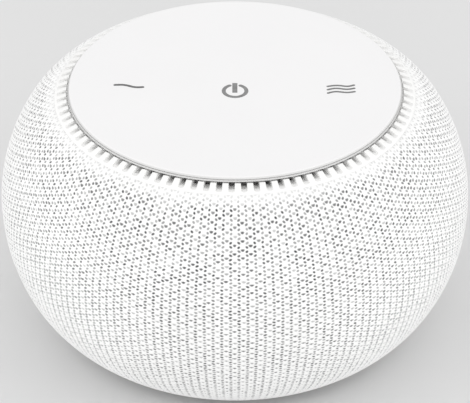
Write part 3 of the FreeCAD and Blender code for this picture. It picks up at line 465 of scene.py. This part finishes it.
def profile_at(s):
    """Point and outward normal of the cover's outer profile, s millimetres below the ring edge."""
    s = np.asarray(s, float)
    r, z, nr, nz = (np.zeros_like(s) for _ in range(4))
    start = 0.0
    for k, ((cr, cz, rad, a, b), length) in enumerate(zip(ARCS, LENGTHS)):
        last = k == len(ARCS) - 1
        here = (s >= start) & ((s < start + length) | last)
        if k == 0:
            here |= s < start
        ang = np.radians(a) - (s - start) / rad
        r = np.where(here, cr + rad * np.cos(ang), r)
        z = np.where(here, cz + rad * np.sin(ang), z)
        nr = np.where(here, np.cos(ang), nr)
        nz = np.where(here, np.sin(ang), nz)
        start += length
    return r, z, nr, nz


# Courses: the distance between two of them along the profile shrinks away from the ring
_s = np.linspace(0.0, TOTAL, 4000)
_b = np.interp(_s, [0, 5, 10, 18, 28, 38, 90], [2.9, 2.8, 2.67, 2.4, 2.2, 2.125, 2.12])
_n = np.concatenate([[0.0], np.cumsum((_s[1:] - _s[:-1]) / (0.5 * (_b[1:] + _b[:-1])))])
COURSES = float(_n[-1])
WALES = 176


def s_of(n):
    return np.interp(n, _n, _s)


def knitted_cover():
    rng = np.random.default_rng(SEED)
    per = np.array([0.0, 0.37, 0.63])
    cols = (np.arange(WALES)[:, None] + per[None, :]).ravel()          # 528 columns, in wales
    kind = np.tile([0, 1, 2], WALES)                                  # 0 on a wale, 1 and 2 either side of the gap
    wale = np.repeat(np.arange(WALES), 3)
    top, low = 0.30, COURSES - 0.35
    rows = np.arange(math.ceil(top * 4), math.floor(low * 4) + 1)      # four rows to a course
    nr_, nc = len(rows), len(cols)
    N = np.zeros((nr_, nc))
    D = np.zeros((nr_, nc))
    for a, q in enumerate(rows):
        course, part = divmod(int(q), 4)
        base = q / 4.0
        on = kind == 0
        N[a, on] = base
        # broad eyelets: odd wales at whole courses, even wales half a course on
        dip = (part == 0) & (wale % 2 == 1) | (part == 2) & (wale % 2 == 0)
        jit = rng.uniform(0.8, 1.15, nc)
        D[a, on & dip] = 0.30 * jit[on & dip]
        D[a, on & ~dip] = 0.02
        off = ~on
        N[a, off] = base + 0.167
        if part in (0, 2):
            jw = 2 * course + (1 if part == 2 else 0)
            lean = np.where((wale + jw) % 2 == 1, 1.0, -1.0)
            side = np.where(kind == 1, -1.0, 1.0)
            N[a, off] = (base + 0.167 - lean * side * 0.060)[off]
            D[a, off] = 0.20 * jit[off]
        else:
            D[a, off] = 0.0
    # the last courses at either edge lie flat
    fade = np.clip((N - 0.6) / 1.8, 0.0, 1.0) * np.clip((COURSES - 0.8 - N) / 1.0, 0.0, 1.0)
    D *= fade
    S = s_of(N)
    R, Z, NR, NZ = profile_at(S)
    R, Z = R - D * NR, Z - D * NZ
    ang = cols / WALES * 2 * math.pi
    verts, uvn = [], []

    def ring(r, z, n, angles):
        first = len(verts)
        r, z, n = (np.broadcast_to(x, angles.shape) for x in (r, z, n))
        verts.extend(np.stack([r * np.cos(angles), r * np.sin(angles), z], 1).tolist())
        uvn.extend(n.tolist())
        return list(range(first, first + len(angles)))

    T = 0.8
    fine, loops = ang, []
    def rolled(s_end, towards, radius, degrees, n_value):
        """Loops round a rolled edge. The roll's tip is at s_end, and the cloth lies on the towards side of it."""
        r, z, nr, nz = (float(x) for x in profile_at(s_end))
        for t_ in degrees:
            along = towards * radius * (1.0 - math.sin(math.radians(t_)))
            deep = radius * (1.0 - math.cos(math.radians(t_)))
            loops.append(ring(r + nz * along - nr * deep, z - nr * along - nz * deep, n_value, fine))

    # top edge, rolled in and tucked against the ring's rim, inner face first
    rolled(-0.08, 1.0, 0.10, (165, 135, 105, 75, 45, 15), 0.0)
    for a in range(nr_):
        loops.append(ring(R[a], Z[a], N[a], fine))
    # bottom edge, rolled in over the shell's rim
    rolled(TOTAL, -1.0, 0.36, (15, 45, 75, 105, 135, 165), COURSES)
    faces, fn = [], []
    for a, b in zip(loops[:-1], loops[1:]):
        for k in range(nc):
            n = (k + 1) % nc
            faces.append((a[k], b[k], b[n], a[n]))
            fn.append((k, k, k + 1, k + 1))
    # inner face, one column to a wale
    inner = []
    coarse = np.arange(WALES) / WALES * 2 * math.pi
    for s in np.linspace(TOTAL - 0.6, 0.6, 44):
        r, z, nr, nz = (float(x) for x in profile_at(s))
        inner.append(ring(r - T * nr, z - T * nz, float(np.interp(s, _s, _n)), coarse))
    for a, b in zip(inner[:-1], inner[1:]):
        for k in range(WALES):
            n = (k + 1) % WALES
            faces.append((a[k], b[k], b[n], a[n]))
            fn.append((3 * k, 3 * k, 3 * k + 3, 3 * k + 3))
    # close both edges: three fine columns meet one coarse one
    last, first = loops[-1], loops[0]
    for k in range(WALES):
        n = (k + 1) % WALES
        a = [last[(3 * k + q) % nc] for q in range(4)]
        faces.append((a[0], inner[0][k], inner[0][n], a[3], a[2], a[1]))
        fn.append((3 * k, 3 * k, 3 * k + 3, 3 * k + 3, 3 * k + 2, 3 * k + 1))
        a = [first[(3 * k + q) % nc] for q in range(4)]
        faces.append((inner[-1][k], a[0], a[1], a[2], a[3], inner[-1][n]))
        fn.append((3 * k, 3 * k, 3 * k + 1, 3 * k + 2, 3 * k + 3, 3 * k + 3))
    ob = mesh_piece("knitted_cover", verts, faces)
    me = ob.data
    # the map: U counts wales, V counts courses
    colu = np.concatenate([cols, cols[:4] + WALES])
    weave = me.uv_layers.new(name="Weave")
    bake = me.uv_layers.new(name="OFBake")
    uvn = np.array(uvn)
    vi = np.zeros(len(me.loops), int)
    me.loops.foreach_get("vertex_index", vi)
    ku = np.concatenate([np.array(f, int) for f in fn])
    uu = colu[ku]
    vv = uvn[vi]
    weave.data.foreach_set("uv", np.stack([uu, vv], 1).astype(np.float32).ravel())
    # a second, unfolded map: four quarters of the outer face in a square, the inner face in a strip under them
    down = s_of(uvn)
    outer = len(loops) * nc
    rank = np.arange(outer) // nc
    edge_rows = 6
    down[:outer] = np.where(rank < edge_rows, -0.1 * (edge_rows - rank), down[:outer])
    down[:outer] = np.where(rank >= len(loops) - edge_rows, TOTAL + 0.1 * (rank - (len(loops) - edge_rows) + 1), down[:outer])
    face_k = np.concatenate([np.full(len(f), min(f), int) for f in fn])
    n_out = 4 * (len(loops) - 1) * nc
    is_out = np.arange(len(ku)) < n_out
    quarter = face_k // (nc // 4)
    across = uu / (WALES / 4) - quarter
    height = (down[vi] + 0.7) / (TOTAL + 1.4)
    bu = np.where(is_out, 0.005 + (quarter % 2) * 0.5 + across * 0.49, 0.005 + uu / WALES * 0.99)
    bv = np.where(is_out, 0.245 + (quarter // 2) * 0.38 + height * 0.37, 0.005 + height * 0.23)
    bake.data.foreach_set("uv", np.stack([bu, bv], 1).astype(np.float32).ravel())
    return ob


cover = knitted_cover()
finish_piece(cover, "tone_shell", "fabric", ["fabric_cover"])


# ------------------------------------------------------------------ vent ring
def vent_ring():
    """Ninety ribs and slots. The slots open downward under the top's edge and run out along a rising floor."""
    # crest arc through two points, bulging up and out
    p, q, rad = np.array([50.45, 79.86]), np.array([53.96, 78.25]), 16.0
    m, d = (p + q) / 2, q - p
    h = math.sqrt(rad ** 2 - (np.hypot(*d) / 2) ** 2)
    c = m + h * np.array([d[1], -d[0]]) / np.hypot(*d)
    if c[1] > m[1]:
        c = m - h * np.array([d[1], -d[0]]) / np.hypot(*d)

    def crest(r):
        return c[1] + math.sqrt(rad ** 2 - (r - c[0]) ** 2)

    low = 75.4
    # radial stations: (r, top height, floor height, slot half-width). The slots are open below between the first two
    hw = 0.88
    floor = lambda r: float(np.interp(r, [48.4, 50.3, 51.3, 52.2, 53.3], [77.75, 78.00, 78.40, 78.54, 78.56]))
    st = [(47.0, 79.30, floor(48.4) - 0.1, hw), (48.4, 79.30, floor(48.4) - 0.1, hw), (48.62, 79.30, floor(48.62), hw), (49.5, 79.30, floor(49.5), hw),
          (50.38, 79.30, floor(50.38), hw), (50.45, 79.45, floor(50.45), hw), (50.47, 79.76, floor(50.47), hw),
          (50.56, crest(50.56) - 0.005, floor(50.56), hw)]
    for r in (51.0, 51.6, 52.2, 52.7, 53.0):
        st.append((r, crest(r), floor(r), hw if r < 52.9 else 0.84))
    st += [(53.17, crest(53.17), floor(53.17), 0.74), (53.27, crest(53.27), floor(53.27) + 0.02, 0.62),
           (53.32, crest(53.32), crest(53.32) - 0.03, 0.56), (53.42, crest(53.42), crest(53.42), 0.50),
           (53.66, crest(53.66), crest(53.66), 0.50), (53.88, crest(53.88) - 0.005, crest(53.88) - 0.005, 0.50),
           (54.05, 78.15, 78.15, 0.50), (54.04, 77.98, 77.98, 0.50)]
    verts, top, bottom = [], [], []

    def put(r, angle, y, z):
        a = angle + math.asin(y / r)
        verts.append((r * math.cos(a), r * math.sin(a), z))
        return len(verts) - 1

    pitch = math.radians(4.0)
    start = math.radians(0.95)
    for k in range(90):
        mid = start + k * pitch
        grid = []
        for r, zt, zf, w in st:
            deep = max(0.0, zt - zf)
            bev = min(0.13, deep * 0.45)
            fil = min(0.10, deep * 0.3)
            across = [(None, zt), (-(w + bev), zt), (-(w + 0.30 * bev), zt - 0.30 * bev * (1 if deep > 0 else 0)),
                      (-w, zt - bev), (-w, zf + fil), (-(w - fil * 0.9), zf), (0.0, zf - 0.02 * min(1.0, deep)),
                      (w - fil * 0.9, zf), (w, zf + fil), (w, zt - bev), (w + 0.30 * bev, zt - 0.30 * bev * (1 if deep > 0 else 0)), (w + bev, zt)]
            if deep < 0.02:                                             # past the slot's end: evenly spread, level
                across = [(None, zt)] + [(w * f, zt) for f in (-1.36, -1.12, -0.9, -0.7, -0.4, 0.0, 0.4, 0.7, 0.9, 1.12, 1.36)]
            line = []
            for y, z in across:
                if y is None:
                    a = mid - pitch / 2
                    verts.append((r * math.cos(a), r * math.sin(a), z))
                    line.append(len(verts) - 1)
                else:
                    line.append(put(r, mid, y, z))
            grid.append(line)
        top.append(grid)
        lines = []
        for r in (47.0, 48.4, 52.2):
            w = hw
            a = mid - pitch / 2
            verts.append((r * math.cos(a), r * math.sin(a), low))
            line = [len(verts) - 1]
            for y in (-w, -w * 0.82, 0.0, w * 0.82, w):
                line.append(put(r, mid, y, low))
            lines.append(line)
        bottom.append(lines)
    faces = []
    for k in range(90):
        n = (k + 1) % 90
        g = [line + [top[n][j][0]] for j, line in enumerate(top[k])]
        b = [line + [bottom[n][j][0]] for j, line in enumerate(bottom[k])]
        for j in range(len(st) - 1):
            for i in range(12):
                if j == 0 and 4 <= i <= 7:
                    continue                                            # the slot is open here
                faces.append((g[j][i], g[j + 1][i], g[j + 1][i + 1], g[j][i + 1]))
        for j in range(2):
            for i in range(6):
                if j == 0 and 1 <= i <= 4:
                    continue
                faces.append((b[j][i], b[j][i + 1], b[j + 1][i + 1], b[j + 1][i]))
        # walls and ends of the open part: stations 4..8 on top over stations 1..5 below
        for i in range(4):
            faces.append((g[1][5 + i], g[1][4 + i], b[1][1 + i], b[1][2 + i]))
        faces.append((g[0][4], b[0][1], b[1][1], g[1][4]))
        faces.append((g[1][8], b[1][5], b[0][5], g[0][8]))
        # inner and outer walls
        for row, low_row, flip in ((0, 0, False), (len(st) - 1, 2, True)):
            t_, b_ = g[row], b[low_row]
            polys = [(t_[0], t_[1], t_[2], t_[3], t_[4], b_[1], b_[0])]
            for i in range(4 if flip else 0):
                polys.append((t_[4 + i], t_[5 + i], b_[2 + i], b_[1 + i]))
            polys.append((t_[8], t_[9], t_[10], t_[11], t_[12], b_[6], b_[5]))
            faces.extend(tuple(reversed(f)) if flip else f for f in polys)
    ob = mesh_piece("slotted_ring", verts, faces, True, 38.0)
    bm = bmesh.new()
    bm.from_mesh(ob.data)
    bmesh.ops.recalc_face_normals(bm, faces=bm.faces)
    bm.to_mesh(ob.data)
    bm.free()
    return ob


ring = vent_ring()
finish_piece(ring, "tone_shell", "vent_white", ["vent_ring"])

# ------------------------------------------------------------------ touch top
disc = lathe("touch_disc", [(0.0, 81.30), (20.0, 81.30), (40.0, 81.30), (48.3, 81.30)]
             + [(x, z) for x, z in arc(49.18, 80.65, 0.65, 90.0, 0.0, 12)]
             + [(49.83, 80.61), (49.80, 80.58), (44.3, 80.58), (44.3, 79.4), (20.0, 79.4), (0.0, 79.4)], 384)
finish_piece(disc, "core", "top_white", ["touch_top"])


# ---------------------------------------------------------------- printed icons
def flat_shape(name, outline_sets, z0=81.30, z1=81.322):
    """Thin raised ink: each outline is a closed ring of points, in millimetres."""
    verts, faces = [], []
    for pts in outline_sets:
        n, first = len(pts), len(verts)
        verts += [(x, y, z0 + 0.001) for x, y in pts] + [(x, y, z1) for x, y in pts]
        faces.append(tuple(first + n + k for k in range(n)))
        faces.append(tuple(first + k for k in reversed(range(n))))
        for k in range(n):
            m = (k + 1) % n
            faces.append((first + k, first + m, first + n + m, first + n + k))
    return mesh_piece(name, verts, faces, False)


def stroke(points, half, samples=64, round_ends=True):
    """A closed outline round a smooth line through the points, with round ends."""
    P = np.array(points, float)
    t = np.concatenate([[0.0], np.cumsum(np.hypot(*np.diff(P, axis=0).T))])
    # natural cubic spline through the points
    n = len(t)
    A, B = np.zeros((n, n)), np.zeros((n, 2))
    A[0, 0] = A[-1, -1] = 1.0
    for k in range(1, n - 1):
        h0, h1 = t[k] - t[k - 1], t[k + 1] - t[k]
        A[k, k - 1:k + 2] = h0, 2 * (h0 + h1), h1
        B[k] = 6 * ((P[k + 1] - P[k]) / h1 - (P[k] - P[k - 1]) / h0)
    M = np.linalg.solve(A, B)
    u = np.linspace(0, t[-1], samples)
    k = np.clip(np.searchsorted(t, u) - 1, 0, n - 2)
    h = (t[k + 1] - t[k])[:, None]
    a, b = (t[k + 1] - u)[:, None], (u - t[k])[:, None]
    X = M[k] * a ** 3 / (6 * h) + M[k + 1] * b ** 3 / (6 * h) + (P[k] / h - M[k] * h / 6) * a + (P[k + 1] / h - M[k + 1] * h / 6) * b
    d = np.gradient(X, axis=0)
    d /= np.hypot(*d.T)[:, None]
    nrm = np.stack([-d[:, 1], d[:, 0]], 1)
    left, right = X + nrm * half, X - nrm * half
    pts = list(map(tuple, right))
    if round_ends:
        base = math.atan2(-nrm[-1][1], -nrm[-1][0])
        pts += [(X[-1][0] + half * math.cos(base + math.pi * q / 8), X[-1][1] + half * math.sin(base + math.pi * q / 8)) for q in range(1, 8)]
    pts += list(map(tuple, left[::-1]))
    if round_ends:
        base = math.atan2(nrm[0][1], nrm[0][0])
        pts += [(X[0][0] + half * math.cos(base + math.pi * q / 8), X[0][1] + half * math.sin(base + math.pi * q / 8)) for q in range(1, 8)]
    return pts


def on_disc(points):
    """Places on the top, in millimetres, from the icons' places as seen in the picture's frame."""
    return [((x - 234.9) / 3.34, -3.04 - (y - 90.9) / 1.79) for x, y in points]


# on/off sign: a ring open at the top and an upright stem
cx, cy, outer, line = 0.04, -3.04, 3.97, 1.18
mid = outer - line / 2
gap = math.degrees(math.asin(1.60 / mid))
turn = np.radians(np.linspace(90 + gap, 450 - gap, 72))
arc_pts = stroke([(cx + mid * math.cos(a), cy + mid * math.sin(a)) for a in turn], line / 2, 160)
bar = [(-0.78, -4.05), (0.73, -4.05), (0.73, 1.36), (-0.78, 1.36)]
power = flat_shape("sign_power", [arc_pts, bar])
low_wave = flat_shape("sign_low", [stroke(on_disc([(115.2, 84.9), (122.4, 84.8), (128.0, 85.6), (132.1, 86.6), (136.1, 87.2), (142.8, 87.06)]), 0.50)])
high_wave = flat_shape("sign_high", [stroke(on_disc(p), 0.40) for p in (
    [(327.6, 86.4), (334.8, 85.5), (339.9, 85.6), (347.2, 86.3), (353.7, 85.1)],
    [(327.6, 89.7), (334.8, 88.4), (340.5, 88.7), (346.5, 89.3), (353.9, 88.3)],
    [(327.6, 93.1), (334.8, 91.7), (340.5, 92.0), (346.5, 92.5), (354.0, 91.7)])])
for piece, grey in ((power, 0.215), (low_wave, 0.13), (high_wave, 0.17)):
    piece.data.materials.append(ink(piece.name + "_ink", grey))
    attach(piece, "core")


# ---------------------------------------------------------------------- studio
def area(name, at, aim, size, power, spread=180.0):
    data = bpy.data.lights.new(name, "AREA")
    data.shape, data.size, data.size_y = "RECTANGLE", size[0], size[1]
    data.energy = power
    data.spread = math.radians(spread)
    ob = bpy.data.objects.new(name, data)
    SCENE.collection.objects.link(ob)
    ob.location = at
    ob.visible_camera = False
    ob.rotation_euler = (Vector(aim) - Vector(at)).to_track_quat("-Z", "Y").to_euler()
    return ob


world = bpy.data.worlds.new("studio")
SCENE.world = world
world.use_nodes = True
world.node_tree.nodes["Background"].inputs[0].default_value = (1.0, 1.0, 1.0, 1.0)
world.node_tree.nodes["Background"].inputs[1].default_value = 0.93
area("softbox_front", (0.0, -1.15, 0.24), (0.0, 0.0, 0.03), (1.5, 0.7), 4.0)
area("softbox_left", (-1.0, -0.15, 0.35), (0.0, 0.0, 0.03), (0.9, 0.7), 2.4)
area("softbox_right", (1.0, -0.15, 0.35), (0.0, 0.0, 0.03), (0.9, 0.7), 2.4)

floor_me = bpy.data.meshes.new("studio_floor")
floor_me.from_pydata([(-6, -6, -0.00004), (6, -6, -0.00004), (6, 6, -0.00004), (-6, 6, -0.00004)], [], [(0, 1, 2, 3)])
floor_ob = bpy.data.objects.new("studio_floor", floor_me)
SCENE.collection.objects.link(floor_ob)
ft = Tree("studio_floor")
fn_ = ft.noise(ft.place(), 8.0, 2.0, 0.5)
floor_me.materials.append(ft.set(Base_Color=ft.mix(fn_, (0.71, 0.71, 0.71), (0.74, 0.74, 0.74)), Roughness=0.9, Specular_IOR_Level=0.1))
floor_ob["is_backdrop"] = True

cam = bpy.data.cameras.new("camera")
cam.lens, cam.sensor_width, cam.sensor_fit = 255.99, 36.0, "HORIZONTAL"
cam.clip_start, cam.clip_end = 0.05, 50.0
cam_ob = bpy.data.objects.new("camera", cam)
SCENE.collection.objects.link(cam_ob)
cam_ob.location = (0.00002, -0.848033, 0.611243)
cam_ob.rotation_euler = (math.radians(90 - 33.9894), 0.0, 0.0)
SCENE.camera = cam_ob

SCENE.view_settings.view_transform = "Standard"
SCENE.view_settings.look = "None"
SCENE.view_settings.exposure = 0.0
SCENE.view_settings.gamma = 1.0

bpy.context.view_layer.update()


def plain(v):
    return [plain(x) for x in v] if hasattr(v, "__len__") else float(v)


{"cad": plain(CAD_BOX), "visual": plain(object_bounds())}
